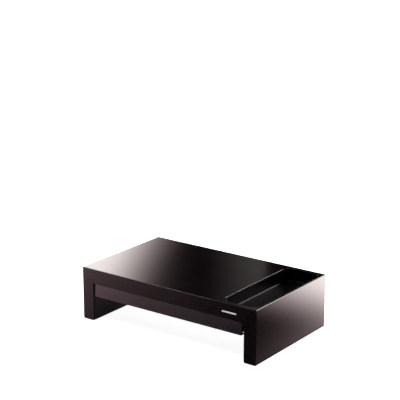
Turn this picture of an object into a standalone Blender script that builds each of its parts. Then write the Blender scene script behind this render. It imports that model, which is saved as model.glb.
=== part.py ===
"""A desktop monitor riser: a U-shaped moulded shell on two hollow legs, with an open supply well let
into the right of its top and a paper drawer that slides out under its front apron. Each leg holds a
telescoping extension that a spring button locks in one of three holes, so that the top stands at three heights.

Metres, +Z up, +X to the user's right, -Y towards the user. The origin is on the desk, under the middle.
"""

import math

import bmesh
import bpy
from mathutils import Matrix, Vector

# Driving dimensions of the whole riser
WIDTH = 0.4064
DEPTH = 0.2405
HEIGHT = 0.1071
LEG_WIDTH = 0.0265
APRON_HEIGHT = 0.0287
WALL = 0.0028
TOP_THICKNESS = 0.003
EDGE_RADIUS = 0.0012
CORNER_RADIUS = 0.0025
SHELL_BOTTOM = 0.0008

# Clearances: between pieces that touch, and between pieces that slide
SEAT = 0.0003
SLIDE = 0.0005

# Supply well
WELL_LEFT = 0.1210
WELL_RIGHT = 0.1984
WELL_HALF_LENGTH = 0.1120
WELL_CORNER = 0.0185
WELL_WALL = 0.0017
WELL_FLOOR = 0.0820
WELL_BOTTOM = 0.0800
WELL_EARS_Y = (-0.070, 0.0, 0.070)
EAR_WIDTH = 0.014
EAR_REACH = 0.0145
EAR_TOP = 0.0957
EAR_THICKNESS = 0.0025
WELL_SCREW_LENGTH = 0.0080

# Ribs under the top plate
RIB_BOTTOM = 0.0970
RIB_THICKNESS = 0.0016
LONG_RIBS_Y = (-0.080, -0.040, 0.0, 0.040, 0.080)
CROSS_RIBS_X = (-0.150, -0.100, -0.050, 0.0, 0.050, 0.095)
RIB_END_X = 0.1100

# Inner panels of the legs, and the posts that they are screwed to
PANEL = 0.0025
PANEL_TOP = 0.0780
POST_Y = 0.1115
POST_SIZE = 0.008

# Drawer rails
RAIL_BOTTOM = 0.0560
RAIL_TOP = 0.0776
RAIL_WEB = 0.0020
RAIL_INNER_FACE = 0.1707
RAIL_FRONT = -0.1168
RAIL_BACK = 0.1168
SLOT_BOTTOM = 0.0718
SLOT_TOP = 0.0748
LEDGE = 0.0018
BUMPER = 0.0020
RAIL_SCREW_Z = 0.0630
RAIL_SCREW_LENGTH = 0.0120

# Drawer
DRAWER_TRAVEL = 0.1600
FRONT_HALF_WIDTH = 0.1715
FRONT_BOTTOM = 0.0524
FRONT_TOP = 0.0776
FRONT_THICKNESS = 0.0030
FRONT_LEAN = 0.0008
FRONT_EDGE = 0.0005
GRIP_DEPTH = 0.0100
FRONT_SCREWS_X = (-0.135, -0.045, 0.045, 0.135)
FRONT_SCREW_Z = 0.0640
FRONT_SCREW_LENGTH = 0.0038
TRAY_HALF_WIDTH = 0.1685
TRAY_BOTTOM = 0.0547
TRAY_WALL = 0.0020
TRAY_BACK = 0.1050
FLANGE_BOTTOM = 0.0721
FLANGE_TOP = 0.0743
FLANGE_REACH = 0.1738
LUG_LENGTH = 0.0060
LUG_SETBACK = 0.0030
LUG_BOTTOM = 0.0660
LUG_TOP = 0.0695
LUG_REACH = 0.1728

# Leg extensions, their feet and their height latches
EXTENSION_HALF_LENGTH = 0.1060
EXTENSION_WALL = 0.0022
EXTENSION_BOTTOM = 0.0012
EXTENSION_FLOOR = 0.0046
EXTENSION_TOP = 0.0720
WEB_Y = (-0.055, 0.055)
FOOT_Y = 0.0820
FOOT_WIDTH = 0.0130
FOOT_LENGTH = 0.0340
FOOT_HEIGHT = 0.0030
FOOT_ROUNDING = 0.6
HEIGHT_STEP = 0.0200
HEIGHT_STEPS = 2
LATCH_Z = 0.0515
BUTTON_RADIUS = 0.0040
BUTTON_PROUD = 0.0013
LEAF_WIDTH = 0.0100
LEAF_THICKNESS = 0.0008
LEAF_DROP = 0.0300

# Fasteners
SCREW_SHAFT_RADIUS = 0.0012
SCREW_HOLE_RADIUS = 0.0016
SCREW_HEAD_RADIUS = 0.0030
SCREW_HEAD_HEIGHT = 0.0018
SCREW_SLOT_WIDTH = 0.0009
BOSS_RADIUS = 0.0042

# Name bar, a plain strip let into the apron
BAR_MIDDLE = (0.1446, 0.0903)
BAR_SIZE = (0.0312, 0.0028)
BAR_THICKNESS = 0.0006
BAR_POCKET = 0.0010

half_width = WIDTH / 2
half_depth = DEPTH / 2
leg_face = half_width - LEG_WIDTH
apron_bottom = HEIGHT - APRON_HEIGHT
cavity_x = half_width - WALL
cavity_y = half_depth - WALL
cavity_top = HEIGHT - TOP_THICKNESS
panel_back = leg_face + PANEL
rail_back = leg_face - SEAT
rail_front_face = rail_back - RAIL_WEB
ear_x = WELL_LEFT - EAR_REACH / 2
latch_hole = BUTTON_RADIUS + SEAT
lug_front = TRAY_BACK - LUG_LENGTH - LUG_SETBACK
lug_stop = lug_front - DRAWER_TRAVEL - SEAT
tray_front = -half_depth + FRONT_THICKNESS + SEAT
leg_middle = (panel_back + cavity_x) / 2


def material(name, colour, roughness, metallic=0.0):
    """A Principled material with one colour and finish."""
    finish = bpy.data.materials.new(name)
    finish.use_nodes = True
    shader = finish.node_tree.nodes["Principled BSDF"]
    shader.inputs["Base Color"].default_value = (*colour, 1.0)
    shader.inputs["Roughness"].default_value = roughness
    shader.inputs["Metallic"].default_value = metallic
    finish.diffuse_color = (*colour, 1.0)
    return finish


def box(mesh, low, high):
    """Adds a box between two corners, and returns its vertices."""
    size = Vector(high) - Vector(low)
    middle = (Vector(high) + Vector(low)) / 2
    place = Matrix.Translation(middle) @ Matrix.Diagonal((*size, 1.0))
    return bmesh.ops.create_cube(mesh, size=1.0, matrix=place)["verts"]


def edges_of(verts, direction=None):
    """The edges of a new box, or only those along one axis."""
    edges = {edge for vert in verts for edge in vert.link_edges}
    if direction is None:
        return list(edges)
    axis = Vector(direction)
    chosen = []
    for edge in edges:
        run = (edge.verts[1].co - edge.verts[0].co).normalized()
        if abs(run.dot(axis)) > 0.99:
            chosen.append(edge)
    return chosen


def round_edges(mesh, edges, radius, segments):
    bmesh.ops.bevel(
        mesh, geom=edges, offset=radius, segments=segments, profile=0.5, affect="EDGES", clamp_overlap=True
    )


def rounded_box(mesh, low, high, radius, direction=(0, 0, 1), segments=4):
    """Adds a box whose edges along one axis are rounded."""
    round_edges(mesh, edges_of(box(mesh, low, high), direction), radius, segments)


def rod(mesh, start, end, radius, sides=20):
    """Adds a round bar between two points."""
    run = Vector(end) - Vector(start)
    turn = Vector((0, 0, 1)).rotation_difference(run.normalized()).to_matrix().to_4x4()
    place = Matrix.Translation((Vector(start) + Vector(end)) / 2) @ turn
    bmesh.ops.create_cone(
        mesh, cap_ends=True, segments=sides, radius1=radius, radius2=radius, depth=run.length, matrix=place
    )


def extrude_outline(mesh, points, start, thickness):
    """Adds a prism: an outline of 3-D points, moved to start and extruded along thickness."""
    corners = [mesh.verts.new(Vector(point) + Vector(start)) for point in points]
    face = mesh.faces.new(corners)
    grown = bmesh.ops.extrude_face_region(mesh, geom=[face])["geom"]
    moved = [item for item in grown if isinstance(item, bmesh.types.BMVert)]
    bmesh.ops.translate(mesh, verts=moved, vec=Vector(thickness))
    bmesh.ops.recalc_face_normals(mesh, faces=mesh.faces)


def new_object(name, mesh, parent=None):
    """Turns a bmesh into an object whose mesh is in world coordinates."""
    data = bpy.data.meshes.new(name)
    bmesh.ops.recalc_face_normals(mesh, faces=mesh.faces)
    mesh.to_mesh(data)
    mesh.free()
    item = bpy.data.objects.new(name, data)
    bpy.context.scene.collection.objects.link(item)
    if parent:
        item.parent = parent
        item.matrix_parent_inverse = Matrix.Translation(parent.location).inverted()
    return item


def part(name, mesh, finish, parent, smooth=False):
    """A sub-part of the riser."""
    item = new_object(name, mesh, parent)
    item.data.materials.append(finish)
    if smooth:
        item.data.shade_smooth()
        item.data.set_sharp_from_angle(angle=math.radians(35))
    return item


def combine(item, mesh, operation, name):
    """Cuts a guide mesh from a part, or joins it on."""
    guide = new_object(f"{item.name}_{name}", mesh, item.parent)
    guide.display_type = "WIRE"
    guide.hide_render = True
    modifier = item.modifiers.new(name, "BOOLEAN")
    modifier.operation = operation
    modifier.solver = "EXACT"
    modifier.object = guide


def body_axis(name, location):
    """An empty on a joint's axis, which carries everything that moves with it."""
    empty = bpy.data.objects.new(name, None)
    empty.location = location
    bpy.context.scene.collection.objects.link(empty)
    return empty


def screw(name, head_point, direction, length, finish, parent):
    """A pan-head screw: its head's underside is at head_point, and its shaft runs along direction."""
    mesh = bmesh.new()
    way = Vector(direction)
    point = Vector(head_point)
    profile = (
        (SCREW_HEAD_RADIUS * 0.6, -SCREW_HEAD_HEIGHT),
        (SCREW_HEAD_RADIUS, -SCREW_HEAD_HEIGHT * 0.5),
        (SCREW_HEAD_RADIUS, 0.0),
        (SCREW_SHAFT_RADIUS, 0.0),
        (SCREW_SHAFT_RADIUS, length - SCREW_SHAFT_RADIUS),
        (SCREW_SHAFT_RADIUS * 0.3, length),
    )
    sides = 12
    turn = Vector((0, 0, 1)).rotation_difference(way).to_matrix()
    rings = []
    for radius, height in profile:
        ring = []
        for step in range(sides):
            angle = math.tau * step / sides
            spot = Vector((radius * math.cos(angle), radius * math.sin(angle), height))
            ring.append(mesh.verts.new(turn @ spot + point))
        rings.append(ring)
    for lower, upper in zip(rings, rings[1:]):
        for step in range(sides):
            after = (step + 1) % sides
            mesh.faces.new((lower[step], lower[after], upper[after], upper[step]))
    mesh.faces.new(list(reversed(rings[0])))
    mesh.faces.new(rings[-1])
    part(name, mesh, finish, parent, smooth=True)


def mirrored(side, low, high):
    """The corners of a box given for the right side, on either side."""
    xs = sorted((side * low[0], side * high[0]))
    return (xs[0], low[1], low[2]), (xs[1], high[1], high[2])


def outer_shell(parent, gloss):
    """The U-shaped moulding: top, aprons, side panels and the fronts and backs of the hollow legs."""
    mesh = bmesh.new()
    verts = box(mesh, (-half_width, -half_depth, SHELL_BOTTOM), (half_width, half_depth, HEIGHT))
    bottom = [e for e in edges_of(verts, (0, 1, 0)) if e.verts[0].co.z < HEIGHT / 2]
    round_edges(mesh, bottom, CORNER_RADIUS, 3)
    rest = [e for e in mesh.edges if len(e.link_faces) == 2 and e.calc_face_angle() > math.radians(60)]
    round_edges(mesh, rest, EDGE_RADIUS, 2)
    shell = part("outer_shell", mesh, gloss, parent, smooth=True)

    bay = bmesh.new()
    past = half_depth + CORNER_RADIUS
    rounded_box(bay, (-leg_face, -past, -APRON_HEIGHT), (leg_face, past, apron_bottom), EDGE_RADIUS, (0, 1, 0), 2)
    combine(shell, bay, "DIFFERENCE", "bay")

    inside = bmesh.new()
    box(inside, (-cavity_x, -cavity_y, -WALL), (cavity_x, cavity_y, cavity_top))
    combine(shell, inside, "DIFFERENCE", "inside")

    opening = bmesh.new()
    low = (WELL_LEFT, -WELL_HALF_LENGTH, WELL_BOTTOM)
    high = (WELL_RIGHT, WELL_HALF_LENGTH, HEIGHT + WALL)
    rounded_box(opening, low, high, WELL_CORNER, segments=8)
    combine(shell, opening, "DIFFERENCE", "well_opening")

    pocket = bmesh.new()
    half_bar = BAR_SIZE[0] / 2 + SEAT
    half_tall = BAR_SIZE[1] / 2 + SEAT
    box(
        pocket,
        (BAR_MIDDLE[0] - half_bar, -half_depth - WALL, BAR_MIDDLE[1] - half_tall),
        (BAR_MIDDLE[0] + half_bar, -half_depth + BAR_POCKET, BAR_MIDDLE[1] + half_tall),
    )
    combine(shell, pocket, "DIFFERENCE", "bar_pocket")

    long_ribs = bmesh.new()
    half_rib = RIB_THICKNESS / 2
    top = cavity_top + TOP_THICKNESS / 2
    for y in LONG_RIBS_Y:
        box(long_ribs, (-cavity_x - half_rib, y - half_rib, RIB_BOTTOM), (RIB_END_X, y + half_rib, top))
    combine(shell, long_ribs, "UNION", "long_ribs")

    cross_ribs = bmesh.new()
    for x in CROSS_RIBS_X:
        box(cross_ribs, (x - half_rib, -cavity_y - half_rib, RIB_BOTTOM), (x + half_rib, cavity_y + half_rib, top))
    combine(shell, cross_ribs, "UNION", "cross_ribs")

    posts = bmesh.new()
    for side in (-1, 1):
        for end in (-1, 1):
            y_faces = sorted((end * (POST_Y - POST_SIZE / 2), end * (cavity_y + half_rib)))
            low = (panel_back + SEAT, y_faces[0], CORNER_RADIUS)
            high = (cavity_x + half_rib, y_faces[1], PANEL_TOP)
            box(posts, *mirrored(side, low, high))
    combine(shell, posts, "UNION", "posts")

    bosses = bmesh.new()
    for y in WELL_EARS_Y:
        rod(bosses, (ear_x, y, EAR_TOP + SEAT), (ear_x, y, top), BOSS_RADIUS, 16)
    combine(shell, bosses, "UNION", "well_bosses")

    holes = bmesh.new()
    for y in WELL_EARS_Y:
        rod(holes, (ear_x, y, EAR_TOP - SEAT), (ear_x, y, cavity_top), SCREW_HOLE_RADIUS, 12)
    for side in (-1, 1):
        for end in (-1, 1):
            start = (side * leg_face, end * POST_Y, RAIL_SCREW_Z)
            stop = (side * (cavity_x - WALL * 2), end * POST_Y, RAIL_SCREW_Z)
            rod(holes, start, stop, SCREW_HOLE_RADIUS, 12)
    combine(shell, holes, "DIFFERENCE", "screw_holes")


def supply_well(parent, satin, steel):
    """The open tub let into the right of the top, screwed up to bosses by three ears."""
    mesh = bmesh.new()
    low = (WELL_LEFT + SEAT, -WELL_HALF_LENGTH + SEAT, WELL_BOTTOM)
    high = (WELL_RIGHT - SEAT, WELL_HALF_LENGTH - SEAT, HEIGHT - SEAT)
    rounded_box(mesh, low, high, WELL_CORNER - SEAT, segments=8)
    well = part("supply_well", mesh, satin, parent, smooth=True)

    ears = bmesh.new()
    for y in WELL_EARS_Y:
        corner = (WELL_LEFT - EAR_REACH, y - EAR_WIDTH / 2, EAR_TOP - EAR_THICKNESS)
        far = (WELL_LEFT + WELL_WALL / 2, y + EAR_WIDTH / 2, EAR_TOP)
        box(ears, corner, far)
    combine(well, ears, "UNION", "ears")

    hollow = bmesh.new()
    inner_low = (low[0] + WELL_WALL, low[1] + WELL_WALL, WELL_FLOOR)
    inner_high = (high[0] - WELL_WALL, high[1] - WELL_WALL, HEIGHT + WALL)
    rounded_box(hollow, inner_low, inner_high, WELL_CORNER - SEAT - WELL_WALL, segments=8)
    combine(well, hollow, "DIFFERENCE", "hollow")

    holes = bmesh.new()
    for y in WELL_EARS_Y:
        rod(holes, (ear_x, y, EAR_TOP - WALL * 2), (ear_x, y, EAR_TOP + WALL), SCREW_HOLE_RADIUS, 12)
    combine(well, holes, "DIFFERENCE", "ear_holes")

    for place, y in zip(("front", "middle", "back"), WELL_EARS_Y):
        head = (ear_x, y, EAR_TOP - EAR_THICKNESS - SEAT)
        screw(f"well_screw_{place}", head, (0, 0, 1), WELL_SCREW_LENGTH, steel, parent)


def inner_panel(side, name, parent, gloss):
    """The panel that closes a hollow leg on the bay side, with the three holes of the height latch."""
    mesh = bmesh.new()
    low = (leg_face, -cavity_y + SEAT, SHELL_BOTTOM)
    high = (panel_back, cavity_y - SEAT, PANEL_TOP)
    box(mesh, *mirrored(side, low, high))
    panel = part(f"{name}_inner_panel", mesh, gloss, parent)

    holes = bmesh.new()
    for step in range(HEIGHT_STEPS + 1):
        z = LATCH_Z - step * HEIGHT_STEP
        rod(holes, (side * (leg_face - WALL), 0, z), (side * (panel_back + WALL), 0, z), latch_hole, 20)
    for end in (-1, 1):
        start = (side * (leg_face - WALL), end * POST_Y, RAIL_SCREW_Z)
        stop = (side * (panel_back + WALL), end * POST_Y, RAIL_SCREW_Z)
        rod(holes, start, stop, SCREW_HOLE_RADIUS, 12)
    combine(panel, holes, "DIFFERENCE", "holes")


def drawer_rail(side, name, parent, slick, steel):
    """A C-shaped rail on a leg's inner panel: the drawer's flange runs in its slot, above a pull-out stop."""
    mesh = bmesh.new()
    low = (RAIL_INNER_FACE, RAIL_FRONT, RAIL_BOTTOM)
    high = (rail_back, RAIL_BACK, RAIL_TOP)
    box(mesh, *mirrored(side, low, high))
    rail = part(f"{name}_drawer_rail", mesh, slick, parent)

    cuts = bmesh.new()
    inner = RAIL_INNER_FACE - WALL
    slot_end = TRAY_BACK + BUMPER + 2 * SEAT
    box(cuts, *mirrored(side, (inner, RAIL_FRONT - WALL, SLOT_BOTTOM), (rail_front_face, slot_end, SLOT_TOP)))
    for start, end in ((RAIL_FRONT - WALL, lug_stop - LUG_LENGTH), (lug_stop, RAIL_BACK + WALL)):
        low = (inner, start, RAIL_BOTTOM - WALL)
        high = (rail_front_face, end, SLOT_BOTTOM - LEDGE)
        box(cuts, *mirrored(side, low, high))
    combine(rail, cuts, "DIFFERENCE", "channel")

    holes = bmesh.new()
    for place, y in (("front", -POST_Y), ("back", POST_Y)):
        start = (side * inner, y, RAIL_SCREW_Z)
        rod(holes, start, (side * (rail_back + WALL), y, RAIL_SCREW_Z), SCREW_HOLE_RADIUS, 12)
        head = (side * (rail_front_face - SEAT), y, RAIL_SCREW_Z)
        screw(f"{name}_rail_screw_{place}", head, (side, 0, 0), RAIL_SCREW_LENGTH, steel, parent)
    combine(rail, holes, "DIFFERENCE", "screw_holes")


def drawer_bumper(side, name, parent, rubber):
    """A rubber pad at the end of a rail's slot, which the closed drawer rests against."""
    mesh = bmesh.new()
    start = TRAY_BACK + SEAT
    low = (RAIL_INNER_FACE, start, SLOT_BOTTOM + SEAT)
    high = (rail_front_face - SEAT, start + BUMPER, SLOT_TOP - SEAT)
    box(mesh, *mirrored(side, low, high))
    part(f"{name}_drawer_bumper", mesh, rubber, parent)


def name_bar(parent, silver):
    """A plain silver strip in a shallow pocket of the apron."""
    mesh = bmesh.new()
    x, z = BAR_MIDDLE
    front = -half_depth + BAR_POCKET - SEAT - BAR_THICKNESS / 2
    low = (x - BAR_SIZE[0] / 2, front - BAR_THICKNESS / 2, z - BAR_SIZE[1] / 2)
    high = (x + BAR_SIZE[0] / 2, front + BAR_THICKNESS / 2, z + BAR_SIZE[1] / 2)
    box(mesh, low, high)
    part("name_bar", mesh, silver, parent)


def drawer_tray(parent, matte):
    """The open tray that holds paper, with a sliding flange and a stop lug on each side."""
    mesh = bmesh.new()
    low = (-TRAY_HALF_WIDTH, tray_front, TRAY_BOTTOM)
    high = (TRAY_HALF_WIDTH, TRAY_BACK, FLANGE_TOP)
    bottom = [e for e in edges_of(box(mesh, low, high), (0, 1, 0)) if e.verts[0].co.z < FRONT_SCREW_Z]
    round_edges(mesh, bottom, EDGE_RADIUS, 2)
    tray = part("drawer_tray", mesh, matte, parent)

    runners = bmesh.new()
    for side in (-1, 1):
        root = TRAY_HALF_WIDTH - TRAY_WALL / 2
        box(runners, *mirrored(side, (root, tray_front, FLANGE_BOTTOM), (FLANGE_REACH, TRAY_BACK, FLANGE_TOP)))
        lug_end = (LUG_REACH, lug_front + LUG_LENGTH, LUG_TOP)
        box(runners, *mirrored(side, (root, lug_front, LUG_BOTTOM), lug_end))
    combine(tray, runners, "UNION", "flanges")

    hollow = bmesh.new()
    inner = TRAY_HALF_WIDTH - TRAY_WALL
    low = (-inner, tray_front + TRAY_WALL, TRAY_BOTTOM + TRAY_WALL)
    high = (inner, TRAY_BACK - TRAY_WALL, FLANGE_TOP + WALL)
    round_edges(hollow, edges_of(box(hollow, low, high)), TRAY_WALL, 2)
    combine(tray, hollow, "DIFFERENCE", "hollow")

    holes = bmesh.new()
    for x in FRONT_SCREWS_X:
        start = (x, tray_front - WALL, FRONT_SCREW_Z)
        rod(holes, start, (x, tray_front + 2 * WALL, FRONT_SCREW_Z), SCREW_HOLE_RADIUS, 12)
    combine(tray, holes, "DIFFERENCE", "screw_holes")


def drawer_front(parent, gloss, steel):
    """The drawer's face, leaning back a little, with a finger lip along its lower edge."""
    mesh = bmesh.new()
    outline = (
        (0, -half_depth, FRONT_BOTTOM),
        (0, -half_depth + FRONT_LEAN, FRONT_TOP),
        (0, -half_depth + FRONT_THICKNESS, FRONT_TOP),
        (0, -half_depth + FRONT_THICKNESS, TRAY_BOTTOM - SEAT),
        (0, -half_depth + GRIP_DEPTH, TRAY_BOTTOM - SEAT),
        (0, -half_depth + GRIP_DEPTH, FRONT_BOTTOM),
    )
    extrude_outline(mesh, outline, (-FRONT_HALF_WIDTH, 0, 0), (2 * FRONT_HALF_WIDTH, 0, 0))
    sharp = [e for e in mesh.edges if e.calc_face_angle() > math.radians(60)]
    round_edges(mesh, sharp, FRONT_EDGE, 2)
    face = part("drawer_front", mesh, gloss, parent, smooth=True)

    holes = bmesh.new()
    for number, x in enumerate(FRONT_SCREWS_X, 1):
        bottom = (x, -half_depth + FRONT_LEAN + FRONT_EDGE, FRONT_SCREW_Z)
        rod(holes, (x, tray_front, FRONT_SCREW_Z), bottom, SCREW_HOLE_RADIUS, 12)
        head = (x, tray_front + TRAY_WALL + SEAT, FRONT_SCREW_Z)
        screw(f"drawer_front_screw_{number}", head, (0, -1, 0), FRONT_SCREW_LENGTH, steel, parent)
    combine(face, holes, "DIFFERENCE", "screw_holes")


def leg_extension(side, name, parent, matte):
    """The open box that slides in a hollow leg, with pockets for two feet and a hole for its latch."""
    mesh = bmesh.new()
    low = (panel_back + SLIDE, -EXTENSION_HALF_LENGTH, EXTENSION_BOTTOM)
    high = (cavity_x - SLIDE, EXTENSION_HALF_LENGTH, EXTENSION_TOP)
    rounded_box(mesh, *mirrored(side, low, high), EDGE_RADIUS, segments=2)
    extension = part(f"{name}_leg_extension", mesh, matte, parent)

    cuts = bmesh.new()
    half_wall = EXTENSION_WALL / 2
    stations = (-EXTENSION_HALF_LENGTH + half_wall, *WEB_Y, EXTENSION_HALF_LENGTH - half_wall)
    for start, end in zip(stations, stations[1:]):
        near = (low[0] + EXTENSION_WALL, start + half_wall, EXTENSION_FLOOR)
        far = (high[0] - EXTENSION_WALL, end - half_wall, EXTENSION_TOP + WALL)
        box(cuts, *mirrored(side, near, far))
    for y in (-FOOT_Y, FOOT_Y):
        reach = FOOT_WIDTH / 2 + SEAT
        half = FOOT_LENGTH / 2 + SEAT
        near = (leg_middle - reach, y - half, -WALL)
        far = (leg_middle + reach, y + half, FOOT_HEIGHT + SEAT)
        rounded_box(cuts, *mirrored(side, near, far), reach * FOOT_ROUNDING)
    combine(extension, cuts, "DIFFERENCE", "hollows")

    hole = bmesh.new()
    start = (side * leg_face, 0, LATCH_Z)
    rod(hole, start, (side * (low[0] + 2 * EXTENSION_WALL), 0, LATCH_Z), latch_hole, 20)
    combine(extension, hole, "DIFFERENCE", "latch_hole")


def leg_feet(side, name, parent, rubber):
    """Two rubber pads pressed into the extension's underside: the riser stands on them."""
    for end, y in (("front", -FOOT_Y), ("back", FOOT_Y)):
        mesh = bmesh.new()
        low = (leg_middle - FOOT_WIDTH / 2, y - FOOT_LENGTH / 2, 0.0)
        high = (leg_middle + FOOT_WIDTH / 2, y + FOOT_LENGTH / 2, FOOT_HEIGHT)
        rounded_box(mesh, *mirrored(side, low, high), FOOT_WIDTH / 2 * FOOT_ROUNDING)
        part(f"{name}_{end}_foot", mesh, rubber, parent, smooth=True)


def height_latch(side, name, parent, steel):
    """A folded leaf spring with a round button that locks the extension in one of the panel's holes."""
    inner_wall = panel_back + SLIDE + EXTENSION_WALL + SEAT
    outer_wall = cavity_x - SLIDE - EXTENSION_WALL - SEAT
    fold = LATCH_Z - LEAF_DROP
    head = LATCH_Z + BUTTON_RADIUS + SEAT
    bend = LEAF_THICKNESS * 2
    outline = (
        (inner_wall, head),
        (inner_wall + LEAF_THICKNESS, head),
        (inner_wall + bend + LEAF_THICKNESS, fold + bend),
        (outer_wall - bend - LEAF_THICKNESS, fold + bend),
        (outer_wall - LEAF_THICKNESS, head),
        (outer_wall, head),
        (outer_wall - bend, fold + LEAF_THICKNESS / 2),
        (outer_wall - 2 * bend, fold),
        (inner_wall + 2 * bend, fold),
        (inner_wall + bend, fold + LEAF_THICKNESS / 2),
    )
    mesh = bmesh.new()
    points = [(side * x, 0, z) for x, z in outline]
    extrude_outline(mesh, points, (0, -LEAF_WIDTH / 2, 0), (0, LEAF_WIDTH, 0))
    latch = part(f"{name}_height_latch", mesh, steel, parent, smooth=True)

    button = bmesh.new()
    tip = leg_face - BUTTON_PROUD
    rod(button, (side * tip, 0, LATCH_Z), (side * (inner_wall + LEAF_THICKNESS / 2), 0, LATCH_Z), BUTTON_RADIUS)
    rim = [e for e in button.edges if all(abs(abs(v.co.x) - tip) < SEAT for v in e.verts)]
    round_edges(button, rim, BUTTON_PROUD / 2, 2)
    combine(latch, button, "UNION", "button")


def build():
    for item in list(bpy.data.objects):
        bpy.data.objects.remove(item, do_unlink=True)

    gloss = material("brown_black_gloss", (0.018, 0.013, 0.014), 0.24)
    satin = material("well_satin", (0.014, 0.011, 0.012), 0.38)
    matte = material("tray_matte", (0.020, 0.018, 0.018), 0.55)
    slick = material("rail_nylon", (0.030, 0.027, 0.027), 0.42)
    rubber = material("foot_rubber", (0.016, 0.016, 0.016), 0.85)
    steel = material("zinc_steel", (0.55, 0.55, 0.54), 0.32, 1.0)
    silver = material("bar_silver", (0.72, 0.71, 0.70), 0.28, 1.0)

    frame = body_axis("frame", (0, 0, 0))
    drawer = body_axis("drawer_slide_axis", (0, -half_depth, (FLANGE_BOTTOM + FLANGE_TOP) / 2))
    outer_shell(frame, gloss)
    supply_well(frame, satin, steel)
    name_bar(frame, silver)
    drawer_tray(drawer, matte)
    drawer_front(drawer, gloss, steel)
    for side, name in ((-1, "left"), (1, "right")):
        inner_panel(side, name, frame, gloss)
        drawer_rail(side, name, frame, slick, steel)
        drawer_bumper(side, name, frame, rubber)
        leg = body_axis(f"{name}_height_axis", (side * leg_middle, 0, 0))
        leg_extension(side, name, leg, matte)
        leg_feet(side, name, leg, rubber)
        height_latch(side, name, leg, steel)


build()
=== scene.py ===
# A desktop monitor riser in brown-black moulded plastic. A U-shaped shell stands on two hollow legs, a paper
# drawer slides under its front apron, and an open supply well is let into the right of its top.
# Metres, +Z up, front towards -Y.

import math

import bmesh
import bpy
from mathutils import Matrix, Vector


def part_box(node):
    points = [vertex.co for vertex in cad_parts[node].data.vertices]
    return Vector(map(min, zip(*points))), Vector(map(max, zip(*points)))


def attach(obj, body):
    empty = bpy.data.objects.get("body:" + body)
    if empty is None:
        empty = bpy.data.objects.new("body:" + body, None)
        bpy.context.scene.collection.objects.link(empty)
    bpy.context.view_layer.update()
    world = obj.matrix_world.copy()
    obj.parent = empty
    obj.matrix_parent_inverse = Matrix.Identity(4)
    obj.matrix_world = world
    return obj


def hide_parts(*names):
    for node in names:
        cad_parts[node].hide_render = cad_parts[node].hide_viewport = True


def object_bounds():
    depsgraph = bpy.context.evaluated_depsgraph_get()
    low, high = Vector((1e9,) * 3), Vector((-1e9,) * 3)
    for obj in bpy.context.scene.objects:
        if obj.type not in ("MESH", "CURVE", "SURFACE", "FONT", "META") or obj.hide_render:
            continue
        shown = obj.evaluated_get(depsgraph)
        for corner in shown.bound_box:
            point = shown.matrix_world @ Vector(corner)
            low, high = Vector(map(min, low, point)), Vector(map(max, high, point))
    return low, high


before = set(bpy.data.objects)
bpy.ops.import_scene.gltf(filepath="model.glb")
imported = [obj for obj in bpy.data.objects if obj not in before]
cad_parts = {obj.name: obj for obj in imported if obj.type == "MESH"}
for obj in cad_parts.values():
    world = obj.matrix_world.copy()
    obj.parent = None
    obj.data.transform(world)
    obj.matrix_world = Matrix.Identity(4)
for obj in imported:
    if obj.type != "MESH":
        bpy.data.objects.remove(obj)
cad_low, cad_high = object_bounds()


# ---- The studio
# A white table that glows softly, under a bright ceiling, in a room that is dark to the sides. The plastic
# mirrors graded cards and little else: two stand behind the riser, one lies before it and one to its right.
# Two soft boxes draw the bright lines along its edges.

class Wire:
    """A value in a node tree. The operators add Math nodes, so that shading is written as plain sums."""

    def __init__(self, tree, socket):
        self.tree = tree
        self.socket = socket

    def sum_with(self, operation, first, second):
        return self.tree.node("ShaderNodeMath", {"operation": operation}, {0: first, 1: second})

    def __add__(self, other):
        return self.sum_with("ADD", self, other)

    def __radd__(self, other):
        return self.sum_with("ADD", other, self)

    def __sub__(self, other):
        return self.sum_with("SUBTRACT", self, other)

    def __rsub__(self, other):
        return self.sum_with("SUBTRACT", other, self)

    def __mul__(self, other):
        return self.sum_with("MULTIPLY", self, other)

    def __rmul__(self, other):
        return self.sum_with("MULTIPLY", other, self)

    def __pow__(self, other):
        return self.sum_with("POWER", self, other)


class Tree:
    """A node tree, whose every node is added by one method."""

    def __init__(self, tree):
        self.tree = tree

    def node(self, kind, settings, sockets, output=0):
        """Adds a node, sets it up, then fills its sockets with values or wires. Gives one of its outputs."""
        made = self.tree.nodes.new(kind)
        for setting, value in settings.items():
            setattr(made, setting, value)
        for socket, value in sockets.items():
            if isinstance(value, Wire):
                self.tree.links.new(value.socket, made.inputs[socket])
            else:
                made.inputs[socket].default_value = value
        return Wire(self, made.outputs[output])


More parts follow.
